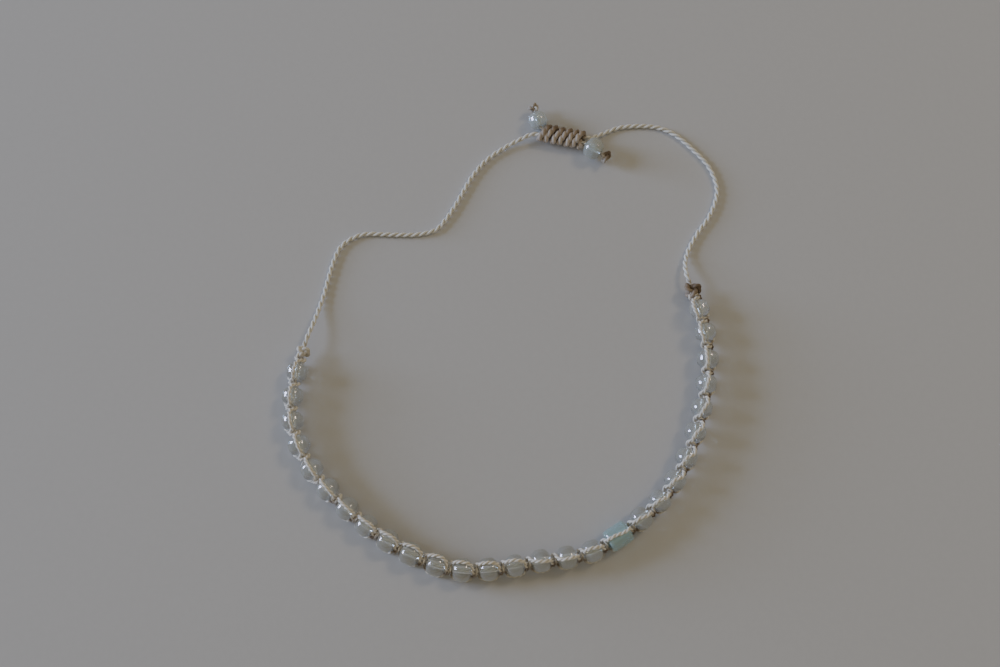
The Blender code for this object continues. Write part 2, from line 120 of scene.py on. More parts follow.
class Route:
    """A smooth curve through a few chosen points, read by its arc length."""

    def __init__(self, chosen: np.ndarray) -> None:
        """Lays the curve.

        Args:
            chosen: the points that the curve passes through, one row each.
        """
        self.points = smoothed(np.array(chosen, dtype=float))
        steps = np.linalg.norm(np.diff(self.points, axis=0), axis=1)
        self.marks = np.concatenate(([0.0], np.cumsum(steps)))
        self.length = float(self.marks[-1])

    def at(self, distance: float | np.ndarray) -> np.ndarray:
        """The point at this distance along the curve, or a row for each distance."""
        return np.stack([np.interp(distance, self.marks, column) for column in self.points.T], axis=-1)

    def heading(self, distance: float) -> np.ndarray:
        """The curve's direction.

        Args:
            distance: how far along the curve.

        Returns:
            The unit tangent there.
        """
        reach = self.length / (4 * len(self.points))
        middle = min(max(distance, reach), self.length - reach)
        run = self.at(middle + reach) - self.at(middle - reach)
        return run / np.linalg.norm(run)

    def chosen_mark(self, index: int) -> float:
        """The distance at which the curve passes its chosen point of this index."""
        return float(self.marks[index * SMOOTHING])

    def spaced(self, step: float) -> np.ndarray:
        """Points evenly apart along the whole curve.

        Args:
            step: about how far apart.

        Returns:
            The points, one row each, with the curve's two ends among them.
        """
        return self.at(np.linspace(0.0, self.length, max(2, round(self.length / step) + 1)))


def smoothed(points: np.ndarray) -> np.ndarray:
    """Centripetal Catmull-Rom curve.

    Args:
        points: the points to pass through, one row each.

    Returns:
        The curve's own points, SMOOTHING for each stretch and the last point.
    """
    padded = np.vstack((2 * points[0] - points[1], points, 2 * points[-1] - points[-2]))
    curve = []
    for first, start, end, last in zip(padded, padded[1:], padded[2:], padded[3:]):
        lengths = [np.linalg.norm(b - a) ** 0.5 for a, b in ((first, start), (start, end), (end, last))]
        knots = np.cumsum([0.0] + lengths)
        for t in np.linspace(knots[1], knots[2], SMOOTHING, endpoint=False):
            a1 = blend(first, start, knots[0], knots[1], t)
            a2 = blend(start, end, knots[1], knots[2], t)
            a3 = blend(end, last, knots[2], knots[3], t)
            b1 = blend(a1, a2, knots[0], knots[2], t)
            b2 = blend(a2, a3, knots[1], knots[3], t)
            curve.append(blend(b1, b2, knots[1], knots[2], t))
    curve.append(points[-1])
    return np.array(curve)


def blend(start: np.ndarray, end: np.ndarray, t0: float, t1: float, t: float) -> np.ndarray:
    """The point between start and end at t on the span from t0 to t1."""
    return start + (t - t0) / (t1 - t0) * (end - start)


def unit(rows: np.ndarray) -> np.ndarray:
    """Each row scaled to length one."""
    return rows / np.maximum(np.linalg.norm(rows, axis=-1, keepdims=True), 1e-12)


def carried_normals(points: np.ndarray) -> tuple[np.ndarray, np.ndarray]:
    """Directions square to a line that turn as little as they can along it.

    Args:
        points: the line's points, one row each.

    Returns:
        The unit tangents and the unit normals at the points.
    """
    tangents = unit(np.gradient(points, axis=0))
    start = np.cross(tangents[0], UP)
    if np.linalg.norm(start) < 0.1:
        start = np.cross(tangents[0], (1.0, 0.0, 0.0))
    normals = [unit(start)]
    for tangent in tangents[1:]:
        normal = normals[-1] - np.dot(normals[-1], tangent) * tangent
        normals.append(unit(normal))
    return tangents, np.array(normals)


# ---- shop tools


def pick(obj: Object, mode: str, test: Callable[..., bool]) -> None:
    """Selects the edges or faces of the mesh in edit mode that pass a test.

    Args:
        obj: the object in edit mode.
        mode: EDGE or FACE.
        test: takes a bmesh edge or face and says whether it is selected.
    """
    bpy.ops.mesh.select_mode(type=mode)
    bpy.ops.mesh.select_all(action="DESELECT")
    bm = bmesh.from_edit_mesh(obj.data)
    for element in bm.edges if mode == "EDGE" else bm.faces:
        element.select_set(bool(test(element)))
    bm.select_flush_mode()
    bmesh.update_edit_mesh(obj.data)


def mount(piece: Object, name: str, material: Material, node: str) -> None:
    """Names and dresses a piece and puts it on the body, in place of the solid that it stands for.

    Args:
        piece: the finished piece, its place already in its mesh.
        name: its name.
        material: its one material.
        node: the name of the solid that it replaces.
    """
    piece.name = name
    piece.data.name = name
    piece.data.materials.append(material)
    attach(piece, ROOT)
    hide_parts(node)
    LOG.info("%s: %d faces for %s", name, len(piece.data.polygons), node)


# ---- yarn


@dataclass(frozen=True)
class Yarn:
    """A twisted cord: its plies, their thickness and how they wind."""

    ply_radius: float
    off_axis: float
    lay: float
    plies: int = 2
    spin: Spin = Spin.S
    sides: int = 8
    step: float = 0.19 * MM

    def lay_along(self, name: str, points: np.ndarray, stain_and_shade: np.ndarray | None = None) -> Object:
        """Makes the plies as closed tubes wound round a line.

        Args:
            name: the new object's name.
            points: the line, one row each, close enough together to be followed straight.
            stain_and_shade: how brown the cord is at each of the points, from real staining and from painted shade,
                from 0 to 1, or None for a clean cord.

        Returns:
            The new mesh object, with a yarn UV map, round and along each ply, and an attribute of real staining and
            painted shade.
        """
        marks = np.concatenate(([0.0], np.cumsum(np.linalg.norm(np.diff(points, axis=0), axis=1))))
        count = max(8, round(marks[-1] / self.step) + 1)
        distance = np.linspace(0.0, marks[-1], count)
        line = np.stack([np.interp(distance, marks, column) for column in points.T], axis=1)
        shade = np.zeros(count) if stain_and_shade is None else np.interp(distance, marks, stain_and_shade)
        tangents, normals = carried_normals(line)
        binormals = np.cross(tangents, normals)
        end = np.minimum(distance, distance[-1] - distance)
        taper = np.sqrt(np.clip(1.0 - (1.0 - np.minimum(end / self.ply_radius, 1.0)) ** 2, 0.06, 1.0))
        verts, faces, uvs, stains = [], [], [], []
        for ply in range(self.plies):
            turn = self.spin.value * 2 * math.pi * distance / self.lay + 2 * math.pi * ply / self.plies
            outward = np.cos(turn)[:, None] * normals + np.sin(turn)[:, None] * binormals
            centre = line + self.off_axis * outward
            along = unit(np.gradient(centre, axis=0))
            outward = unit(outward - np.sum(outward * along, axis=1)[:, None] * along)
            across = np.cross(along, outward)
            first = ply * count * self.sides
            angles = 2 * math.pi * np.arange(self.sides) / self.sides
            ring = np.cos(angles)[None, :, None] * outward[:, None, :]
            ring = ring + np.sin(angles)[None, :, None] * across[:, None, :]
            verts.append((centre[:, None, :] + (self.ply_radius * taper)[:, None, None] * ring).reshape(-1, 3))
            stains.append(np.repeat(shade, self.sides))
            for i in range(count - 1):
                for j in range(self.sides):
                    k = (j + 1) % self.sides
                    row, above = first + i * self.sides, first + (i + 1) * self.sides
                    faces.append((row + j, row + k, above + k, above + j))
                    u0, u1 = j / self.sides, (j + 1) / self.sides
                    v0, v1 = distance[i] / MM, distance[i + 1] / MM
                    uvs.extend((u0, v0, u1, v0, u1, v1, u0, v1))
            last = first + (count - 1) * self.sides
            faces.append(tuple(first + j for j in reversed(range(self.sides))))
            faces.append(tuple(last + j for j in range(self.sides)))
            for v in (0.0, distance[-1] / MM):
                for j in range(self.sides):
                    uvs.extend((j / self.sides, v))
        mesh = bpy.data.meshes.new(name)
        mesh.from_pydata(np.concatenate(verts).tolist(), [], faces)
        layer = mesh.uv_layers.new(name="yarn")
        layer.uv.foreach_set("vector", np.array(uvs, dtype=np.float32))
        attribute = mesh.attributes.new("stain_and_shade", "FLOAT", "POINT")
        attribute.data.foreach_set("value", np.concatenate(stains).astype(np.float32))
        mesh.shade_smooth()
        mesh.update()
        piece = bpy.data.objects.new(name, mesh)
        bpy.context.scene.collection.objects.link(piece)
        return piece


def joined(pieces: list[Object]) -> Object:
    """Joins finished meshes into one object.

    Args:
        pieces: the meshes, of which the first takes in the rest.

    Returns:
        The first one.
    """
    bpy.ops.object.select_all(action="DESELECT")
    for piece in pieces:
        piece.select_set(True)
    bpy.context.view_layer.objects.active = pieces[0]
    bpy.ops.object.join()
    return pieces[0]


# ---- finishes


class Nodes:
    """A node tree, with short calls for what the finishes use."""

    def __init__(self, tree: NodeTree) -> None:
        """Takes up a tree.

        Args:
            tree: the tree that the nodes are added to.
        """
        self.tree = tree

    def add(self, kind: str, **settings: object) -> Node:
        """Adds a node.

        Args:
            kind: the node's type.
            settings: its properties.

        Returns:
            The new node.
        """
        node = self.tree.nodes.new(kind)
        for name, value in settings.items():
            setattr(node, name, value)
        return node

    def feed(self, value: Feed, socket: NodeSocket) -> None:
        """Gives an input its value.

        Args:
            value: a socket to link, or a number or a colour to set.
            socket: the input.
        """
        if isinstance(value, NodeSocket):
            self.tree.links.new(value, socket)
        elif isinstance(value, tuple):
            socket.default_value = (*value, 1.0)
        else:
            socket.default_value = value

    def math(self, operation: str, *values: Feed, clamp: bool = False) -> NodeSocket:
        """Adds a Math node.

        Args:
            operation: what it does.
            values: the sockets or numbers that it works on.
            clamp: whether its result stays from 0 to 1.

        Returns:
            The result's socket.
        """
        node = self.add("ShaderNodeMath", operation=operation, use_clamp=clamp)
        for socket, value in zip(node.inputs, values):
            self.feed(value, socket)
        return node.outputs[0]

    def noise(self, scale: Feed, detail: float = 2.0) -> NodeSocket:
        """Adds a noise texture on Object coordinates.

        Args:
            scale: its scale, a socket or a number.
            detail: its detail.

        Returns:
            The socket of its value, from 0 to 1.
        """
        node = self.add("ShaderNodeTexNoise")
        self.feed(self.add("ShaderNodeTexCoord").outputs["Object"], node.inputs["Vector"])
        self.feed(scale, node.inputs["Scale"])
        self.feed(detail, node.inputs["Detail"])
        return node.outputs["Fac"]


class Group(Nodes):
    """A shared node group of plain numbers."""

    def __init__(self, name: str, inputs: dict[str, float], outputs: tuple[str, ...]) -> None:
        """Starts the group.

        Args:
            name: the group's name.
            inputs: each input's name and default value.
            outputs: the outputs' names.
        """
        super().__init__(bpy.data.node_groups.new(name, "ShaderNodeTree"))
        for label, value in inputs.items():
            self.tree.interface.new_socket(label, in_out="INPUT", socket_type="NodeSocketFloat").default_value = value
        for label in outputs:
            self.tree.interface.new_socket(label, in_out="OUTPUT", socket_type="NodeSocketFloat")
        self.given = self.add("NodeGroupInput").outputs
        self.result = self.add("NodeGroupOutput").inputs


class Shader(Nodes):
    """A material's node tree with its Principled shader."""

    def __init__(self, name: str) -> None:
        """Makes a material with a lone Principled shader.

        Args:
            name: the material's name.
        """
        self.material = bpy.data.materials.new(name)
        self.material.use_nodes = True
        super().__init__(self.material.node_tree)
        self.surface = self.tree.nodes["Principled BSDF"].inputs

    def constant(self, **values: float) -> None:
        """Sets plain numbers on the shader's own sockets, underscores standing for spaces."""
        for name, value in values.items():
            self.surface[name.replace("_", " ")].default_value = value

    def mix(self, share: Feed, low: Feed, high: Feed) -> NodeSocket:
        """A colour between low and high.

        Args:
            share: a socket or a number from 0 to 1.
            low: a socket or a colour at share 0.
            high: a socket or a colour at share 1.

        Returns:
            The mixed colour's socket.
        """
        node = self.add("ShaderNodeMix", data_type="RGBA")
        for index, value in ((0, share), (6, low), (7, high)):
            self.feed(value, node.inputs[index])
        return node.outputs[2]

    def bump(self, height: NodeSocket, strength: float, distance: float) -> None:
        """Raises the surface, through a Bump node into the shader's Normal.

        Args:
            height: the height's socket, from 0 to 1.
            strength: the Bump node's strength.
            distance: how high 1 stands, in metres.
        """
        node = self.add("ShaderNodeBump")
        for value, name in ((strength, "Strength"), (distance, "Distance"), (height, "Height")):
            self.feed(value, node.inputs[name])
        self.feed(node.outputs["Normal"], self.surface["Normal"])

    def group(self, tree: NodeTree, **values: Feed) -> bpy.types.bpy_prop_collection:
        """Places a shared group.

        Args:
            tree: the group.
            values: this material's own values for its inputs.

        Returns:
            The group's outputs.
        """
        node = self.add("ShaderNodeGroup", node_tree=tree)
        for name, value in values.items():
            self.feed(value, node.inputs[name])
        return node.outputs


def fibre_group() -> NodeTree:
    """Fine fibres that wind along each ply, read from the yarn UV map.

    Returns:
        A group that puts out a fibre height, a slow mottle and how far a point faces in between the plies, the mask
        of the painted shade in the grooves.
    """
    group = Group("ply_fibres", {"Fibres": 11.0, "Slant": 3.0, "Mottle": 1.4}, ("Fibre", "Mottle", "Groove"))
    split = group.add("ShaderNodeSeparateXYZ")
    group.feed(group.add("ShaderNodeUVMap", uv_map="yarn").outputs["UV"], split.inputs[0])
    round_ply = group.math("MULTIPLY", split.outputs["X"], group.given["Fibres"])
    down_ply = group.math("MULTIPLY", split.outputs["Y"], group.given["Slant"])
    waver = group.math("MULTIPLY", group.noise(5200.0), 0.9)
    phase = group.math("ADD", group.math("ADD", round_ply, down_ply), waver)
    wave = group.math("SINE", group.math("MULTIPLY", phase, 2 * math.pi))
    inward = group.math("COSINE", group.math("MULTIPLY", split.outputs["X"], 2 * math.pi))
    mottle = group.noise(group.math("MULTIPLY", group.given["Mottle"], 500.0), detail=3.0)
    group.feed(group.math("MULTIPLY_ADD", wave, 0.5, 0.5), group.result["Fibre"])
    group.feed(mottle, group.result["Mottle"])
    group.feed(group.math("MULTIPLY_ADD", inward, -0.5, 0.5), group.result["Groove"])
    return group.tree


def lustre_group() -> NodeTree:
    """The faint waver of pressed glass, on Object coordinates.

    Returns:
        A group that puts out a slow tint and height and a fine smear.
    """
    group = Group("glass_waver", {"Scale": 700.0, "Smear": 1800.0}, ("Waver", "Smear"))
    group.feed(group.noise(group.given["Scale"], detail=1.0), group.result["Waver"])
    group.feed(group.noise(group.given["Smear"]), group.result["Smear"])
    return group.tree


@dataclass(frozen=True)
class CordFinish:
    """Twisted cotton, clean to stained, with painted shade in the grooves between its plies and in the dark gaps of
    its knots.
    """

    name: str
    light: Colour = (0.93, 0.92, 0.88)
    dull: Colour = (0.82, 0.805, 0.755)
    # Painted shade: the tone of the grooves between the plies
    painted_groove_shade: Colour = (0.36, 0.34, 0.28)
    stained: Colour = (0.235, 0.17, 0.11)
    # The darkest tone: the deepest staining, and painted shade in the dark gaps of the knots
    darkest_stain_and_shade: Colour = (0.15, 0.108, 0.078)
    groove_sharpness: float = 2.2
    groove_shade: float = 0.85
    raggedness: float = 0.7
    roughness: float = 0.58
    fibre_height: float = 0.03 * MM

    def make(self, fibres: NodeTree) -> Material:
        """Builds the material.

        Args:
            fibres: the shared group of fibres along a ply.

        Returns:
            The new material.
        """
        shader = Shader(self.name)
        ply = shader.group(fibres, Fibres=11.0, Slant=3.0, Mottle=1.4)
        clean = shader.mix(ply["Mottle"], self.dull, self.light)
        # Painted shade: the grooves between the plies are darkened towards a dark tone.
        between = shader.math("POWER", ply["Groove"], self.groove_sharpness)
        shaded = shader.mix(shader.math("MULTIPLY", between, self.groove_shade), clean, self.painted_groove_shade)
        # The attribute holds real brown staining and painted shade together, the painted shade within the sliding
        # knot and in the knots' dark gaps.
        stain_and_shade = shader.add("ShaderNodeAttribute", attribute_name="stain_and_shade").outputs["Fac"]
        ragged = shader.math("MULTIPLY_ADD", ply["Mottle"], self.raggedness, -0.5 * self.raggedness)
        patch = shader.math("ADD", stain_and_shade, shader.math("MULTIPLY", ragged, shader.math("GREATER_THAN", stain_and_shade, 0.02)))
        browned = shader.mix(shader.math("MULTIPLY", patch, 1.5, clamp=True), shaded, self.stained)
        # Painted shade and the deepest staining: the highest values turn to the darkest tone.
        darkest = shader.math("MULTIPLY_ADD", patch, 2.0, -1.15, clamp=True)
        shader.feed(shader.mix(darkest, browned, self.darkest_stain_and_shade), shader.surface["Base Color"])
        rough = shader.math("MULTIPLY_ADD", ply["Fibre"], 0.16, self.roughness)
        shader.feed(rough, shader.surface["Roughness"])
        shader.bump(ply["Fibre"], 0.55, self.fibre_height)
        shader.constant(Sheen_Weight=0.25, Sheen_Roughness=0.4)
        return shader.material


@dataclass(frozen=True)
class GlassFinish:
    """Clear or tinted glass with a soft lustre."""

    name: str
    tint: Colour = (0.97, 1.0, 1.0)
    tint_deep: Colour = (0.92, 0.99, 1.0)
    transmission: float = 0.87
    roughness: float = 0.09
    film: float = 330.0
    coat_index: float = 2.25
    smear: float = 0.04
    waver_height: float = 0.1 * MM

    def make(self, waver: NodeTree) -> Material:
        """Builds the material.

        Args:
            waver: the shared group of slow tint and unevenness.

        Returns:
            The new material.
        """
        shader = Shader(self.name)
        glass = shader.group(waver, Scale=700.0, Smear=1800.0)
        shader.feed(shader.mix(glass["Waver"], self.tint_deep, self.tint), shader.surface["Base Color"])
        rough = shader.math("MULTIPLY_ADD", glass["Smear"], self.smear, self.roughness - 0.5 * self.smear)
        shader.feed(rough, shader.surface["Roughness"])
        shader.bump(glass["Waver"], 0.12, self.waver_height)
        shader.constant(Transmission_Weight=self.transmission, IOR=1.5, Metallic=0.0)
        shader.constant(Coat_Weight=1.0, Coat_Roughness=0.05, Coat_IOR=self.coat_index)
        shader.constant(Thin_Film_Thickness=self.film, Thin_Film_IOR=1.33)
        return shader.material


# ---- beads


@dataclass(frozen=True)
class BeadShape:
    """A drilled bead's sizes."""

    length: float
    diameter: float
    rounding: float
    bore: float = 0.84 * MM
    rim: float = 0.07 * MM

    def model(self, name: str) -> Object:
        """Turns a drilled bead about X, centred on the origin.

        Args:
            name: the new object's name.

        Returns:
            The bead, closed and shaded smooth.
        """
        bpy.ops.mesh.primitive_cylinder_add(
            vertices=40, radius=self.diameter / 2, depth=self.length, rotation=(0.0, math.pi / 2, 0.0)
        )
        bead = bpy.context.object
        bead.name = name
        bpy.ops.object.transform_apply(location=False, rotation=True, scale=False)
        half = self.length / 2
        bpy.ops.object.mode_set(mode="EDIT")
        pick(bead, "FACE", lambda face: abs(face.normal.x) > 0.9)
        bpy.ops.mesh.inset(thickness=(self.diameter - self.bore) / 2, use_individual=True)
        pick(bead, "FACE", lambda face: len(face.verts) > 4)
        bpy.ops.mesh.delete(type="FACE")
        pick(bead, "EDGE", lambda edge: edge.is_boundary)
        bpy.ops.mesh.bridge_edge_loops()
        pick(bead, "EDGE", lambda edge: ring_at(edge, half, self.diameter / 2))
        bpy.ops.mesh.bevel(offset=self.rounding, segments=8, profile=0.5, affect="EDGES")
        pick(bead, "EDGE", lambda edge: ring_at(edge, half, self.bore / 2))
        bpy.ops.mesh.bevel(offset=self.rim, segments=3, profile=0.5, affect="EDGES")
        bpy.ops.mesh.select_all(action="SELECT")
        bpy.ops.mesh.normals_make_consistent(inside=False)
        bpy.ops.object.mode_set(mode="OBJECT")
        bpy.ops.object.shade_smooth()
        return bead


def ring_at(edge: bmesh.types.BMEdge, half: float, radius: float) -> bool:
    """Whether an edge is part of a ring on either end face of a bead along X.

    Args:
        edge: the edge.
        half: half of the bead's length.
        radius: the ring's radius.

    Returns:
        True if it is.
    """
    first, second = (v.co for v in edge.verts)
    on_face = abs(first.x - second.x) < 1e-6 and abs(abs(first.x) - half) < 1e-6
    return on_face and all(abs(math.hypot(co.y, co.z) - radius) < 2e-5 for co in (first, second))


def copy_to(
    source: Object, name: str, place: np.ndarray, heading: np.ndarray, spread: tuple[float, float, float]
) -> Object:
    """Copies a piece with its own mesh, turned from X to a heading and moved to a place.

    Args:
        source: the piece that was modelled at the origin along X.
        name: the copy's name.
        place: where the copy's middle goes.
        heading: the direction that its X axis takes.
        spread: its scale along and across, and its roll about its own axis in radians.

    Returns:
        The copy, its place in its mesh.
    """
    piece = source.copy()
    piece.data = source.data.copy()
    piece.name = name
    piece.data.name = name
    bpy.context.scene.collection.objects.link(piece)
    along, across, roll = spread
    turn = Vector(heading).to_track_quat("X", "Z").to_matrix().to_4x4()
    piece.data.transform(Matrix.Diagonal((along, across, across, 1.0)))
    piece.data.transform(Matrix.Rotation(roll, 4, "X"))
    piece.data.transform(Matrix.Translation(Vector(place)) @ turn)
    return piece


@dataclass
class StringLine:
    """The bead string's own line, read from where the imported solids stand."""

    tube_half: float = 2.15 * MM
    bead_half: float = 1.6 * MM
    end_gap: float = 0.64 * MM
    route: Route = field(init=False)
    beads: list[float] = field(init=False)
    knots: list[float] = field(init=False)

    def __post_init__(self) -> None:
        """Lays a curve through the end knots and beads, and marks the beads and knots along it."""
        names = ["end_knot_left"] + [f"bead_{n:02d}" for n in range(1, BEAD_COUNT + 1)] + ["end_knot_right"]
        centres = [middle(name) for name in names]
        height = centres[1][2]
        for centre in centres:
            centre[2] = height
        self.route = Route(np.array(centres))
        self.beads = [self.route.chosen_mark(n) for n in range(1, BEAD_COUNT + 1)]
        self.knots = [self.beads[0] - self.half_length(1) - self.end_gap]
        for n in range(1, BEAD_COUNT):
            ahead, behind = self.beads[n - 1] + self.half_length(n), self.beads[n] - self.half_length(n + 1)
            self.knots.append((ahead + behind) / 2)
        self.knots.append(self.beads[-1] + self.half_length(BEAD_COUNT) + self.end_gap)

    def half_length(self, number: int) -> float:
        """Half of a bead's length."""
        return self.tube_half if number == TUBE_BEAD else self.bead_half

    def point(self, distance: float, radius: float, angle: float) -> np.ndarray:
        """A point round the string's line.

        Args:
            distance: how far along the line.
            radius: how far from it.
            angle: radians from straight up towards the outside of the loop.

        Returns:
            The point.
        """
        along = self.route.heading(distance)
        outwards = unit(np.array((along[1], -along[0], 0.0)))
        return self.route.at(distance) + radius * (math.cos(angle) * UP + math.sin(angle) * outwards)


def level(degrees: float) -> np.ndarray:
    """The level unit direction at this many degrees from +X towards +Y."""
    return np.array((math.cos(math.radians(degrees)), math.sin(math.radians(degrees)), 0.0))


def middle(node: str) -> np.ndarray:
    """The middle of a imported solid's box."""
    low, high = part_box(node)
    return np.array((low + high) / 2)


@dataclass
class Beads:
    """The glass beads of the string and of the free ends."""

    round_bead: BeadShape = BeadShape(3.3 * MM, 4.0 * MM, 1.36 * MM)
    tube_bead: BeadShape = BeadShape(4.3 * MM, 4.0 * MM, 0.60 * MM)
    small_bead: BeadShape = BeadShape(2.95 * MM, 3.6 * MM, 1.22 * MM)
    own_sizes: dict[int, float] = field(default_factory=lambda: {14: 0.93, 27: 0.95, 28: 0.90, TUBE_BEAD: 1.0})
    other_sizes: tuple[float, float] = (0.94, 1.0)
    stretches: tuple[float, float] = (0.98, 1.02)
    rolls: tuple[float, float] = (0.0, 6.28)
    tail_roll: float = 0.3
    seed: int = 11

    def build(self, line: StringLine, glasses: dict[Glass, Material]) -> None:
        """Places every bead over its solid.

        Args:
            line: the bead string's line.
            glasses: the material of each kind of glass.
        """
        chance = np.random.default_rng(self.seed)
        round_one = self.round_bead.model("round_master")
        tube_one = self.tube_bead.model("tube_master")
        small_one = self.small_bead.model("small_master")
        for number, distance in enumerate(line.beads, start=1):
            name = f"bead_{number:02d}"
            source = tube_one if number == TUBE_BEAD else round_one
            size = self.own_sizes.get(number, chance.uniform(*self.other_sizes))
            spread = (size * chance.uniform(*self.stretches), size, chance.uniform(*self.rolls))
            heading = line.route.heading(distance)
            piece = copy_to(source, "glass_" + name, line.route.at(distance), heading, spread)
            kind, slot = Glass.CLEAR, "clear_glass"
            if number == TUBE_BEAD:
                kind, slot = Glass.BLUE_GREEN, "blue_green_glass"
            mount(piece, "glass_" + name, glasses[kind], name)
        for side, turn in TAIL_TURNS.items():
            name = "tail_bead_" + side.value
            source = small_one if side is Side.LEFT else round_one
            piece = copy_to(source, "glass_" + name, middle(name), level(turn), (1.0, 1.0, self.tail_roll))
            mount(piece, "glass_" + name, glasses[Glass.MILKY], name)
        for master in (round_one, tube_one, small_one):
            bpy.data.objects.remove(master)


# ---- cords


@dataclass
class BareCords:
    """The two twisted cords from the end knots to the sliding knot."""

    diameter: float = 0.85 * MM
    yarn: Yarn = Yarn(ply_radius=0.235 * MM, off_axis=0.195 * MM, lay=2.8 * MM, sides=10)
    end_run: float = 1.2 * MM
    end_stain: float = 0.25
    # How far the cords run within the sliding knot, all darkened there as painted shade
    closure_run: float = 7.6 * MM
    spacing: float = 0.2 * MM

    def build(self, material: Material) -> None:
        """Lays both cords on the routes that their solids follow.

        Args:
            material: the cords' finish.
        """
        for side, chosen in ((Side.LEFT, LEFT_CORD_ROUTE), (Side.RIGHT, RIGHT_CORD_ROUTE)):
            route = Route(np.array(chosen) / 1000 + CENTRING)
            points = route.spaced(self.spacing)
            name = side.value + "_cord"
            marks = np.linspace(0.0, route.length, len(points))
            tied = np.clip(1.0 - marks / self.end_run, 0.0, 1.0)
            # Painted shade: within the sliding knot the cords are darkened fully, so the gaps between its wraps look
            # dark; near the end knots they are browned a little.
            inside = np.clip((marks - route.length + self.closure_run) / self.end_run, 0.0, 1.0)
            stain_and_shade = np.maximum(self.end_stain * tied, inside)
            lead = np.vstack((middle("end_knot_" + side.value), points))
            piece = self.yarn.lay_along("twisted_" + name, lead, np.append(stain_and_shade[0], stain_and_shade))
            mount(piece, "twisted_" + name, material, name)
            LOG.info("%s: %.1f mm long", name, route.length / MM)


